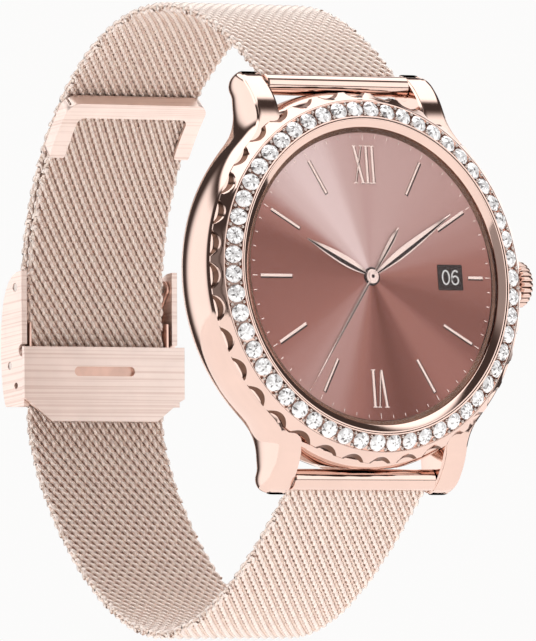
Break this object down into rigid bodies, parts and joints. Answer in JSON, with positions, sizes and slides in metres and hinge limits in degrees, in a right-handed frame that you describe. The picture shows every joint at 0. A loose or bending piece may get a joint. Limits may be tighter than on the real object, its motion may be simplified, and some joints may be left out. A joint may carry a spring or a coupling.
{
  "type": "smartwatch",
  "caption": "Round smartwatch with a crystal-set bezel, fluted crown and a woven metal mesh loop band closed by a sliding clasp.",
  "frame": {"origin": "on the axis of the wrist that the closed band goes around, level with the middle of the display", "axes": "+Z towards 12 o'clock, +X towards the crown at 3 o'clock, the display faces -Y"},
  "size_m": [0.0435, 0.0589, 0.0687],
  "materials": {
    "rose_gold_polished": "polished",
    "rose_gold_mesh": "woven wire",
    "rose_gold_brushed": "brushed",
    "rose_gold_satin": "satin",
    "crystal": "faceted",
    "cover_glass": "polished",
    "dark_glass": "tinted",
    "display": "lit panel",
    "flex_film": "film",
    "board": "solder mask",
    "battery_foil": "foil pouch",
    "black_plastic": "moulded",
    "black_rubber": "smooth",
    "steel": "machined",
    "gold_contacts": "plated"
  },
  "bodies": {
    "case": {"case_middle": "rose_gold_polished", "bezel_ring": "rose_gold_polished", "bezel_crystals": "crystal", "rehaut_ring": "rose_gold_polished", "cover_glass": "cover_glass", "display_gasket": "black_rubber", "display_panel": "display", "display_flex": "flex_film", "inner_chassis": "black_plastic", "main_board": "board", "board_chips": "steel", "battery": "battery_foil", "vibration_motor": "steel", "speaker": "black_plastic", "microphone": "steel", "antenna_strip": "flex_film", "back_gasket": "black_rubber", "back_cover": "rose_gold_satin", "sensor_window": "dark_glass", "sensor_board": "board", "charging_pins": "gold_contacts", "charging_magnets": "steel", "back_screws": "steel", "crown_tube": "steel", "crown_gasket": "black_rubber", "crown_switch": "black_plastic", "spring_bar_12": "steel", "spring_bar_6": "steel"},
    "crown_slider": {"crown_clip": "steel"},
    "crown": {"crown_cap": "rose_gold_polished", "crown_stem": "steel", "crown_encoder_disc": "steel"},
    "strap_12": {"bar_sleeve_12": "rose_gold_polished", "strap_12_mesh": "rose_gold_mesh", "strap_12_end": "rose_gold_satin"},
    "clasp_cover": {"clasp_cover": "rose_gold_brushed", "cover_hinge_pins": "steel", "latch_bar": "steel"},
    "strap_6": {"bar_sleeve_6": "rose_gold_polished", "strap_6_mesh": "rose_gold_mesh", "tail_cap": "rose_gold_brushed"},
    "clasp": {"clasp_body": "rose_gold_satin", "lock_plate_pin": "steel"},
    "lock_plate": {"lock_plate": "rose_gold_brushed"}
  },
  "joints": [
    {"name": "strap_12_swing", "type": "hinge", "parent": "case", "child": "strap_12", "pos_m": [0, -0.0258, 0.02132], "axis": [1, 0, 0], "range_deg": [0, 80]},
    {"name": "cover_hinge", "type": "hinge", "parent": "strap_12", "child": "clasp_cover", "pos_m": [0, 0.02355, 0.0062], "axis": [1, 0, 0], "range_deg": [0, 90]},
    {"name": "strap_6_swing", "type": "hinge", "parent": "case", "child": "strap_6", "pos_m": [0, -0.0258, -0.02132], "axis": [1, 0, 0], "range_deg": [-40, 0]},
    {"name": "clasp_slide", "type": "slide", "parent": "strap_6", "child": "clasp", "axis": [0, -0.1132, 0.9936], "range_m": [-0.0025, 0]},
    {"name": "lock_plate_hinge", "type": "hinge", "parent": "clasp", "child": "lock_plate", "pos_m": [0, 0.02294, -0.00083], "axis": [-1, 0, 0], "range_deg": [0, 55]},
    {"name": "crown_push", "type": "slide", "parent": "case", "child": "crown_slider", "axis": [-1, 0, 0], "range_m": [0, 0.0005], "stiffness_N_per_m": 400, "springref_m": -0.0005},
    {"name": "crown_spin", "type": "hinge", "parent": "crown_slider", "child": "crown", "pos_m": [0, -0.0258, 0], "axis": [1, 0, 0], "continuous": true}
  ],
  "couplings": [
    {"joint": "strap_6_swing", "follows": "strap_12_swing", "ratio": -0.5}
  ]
}
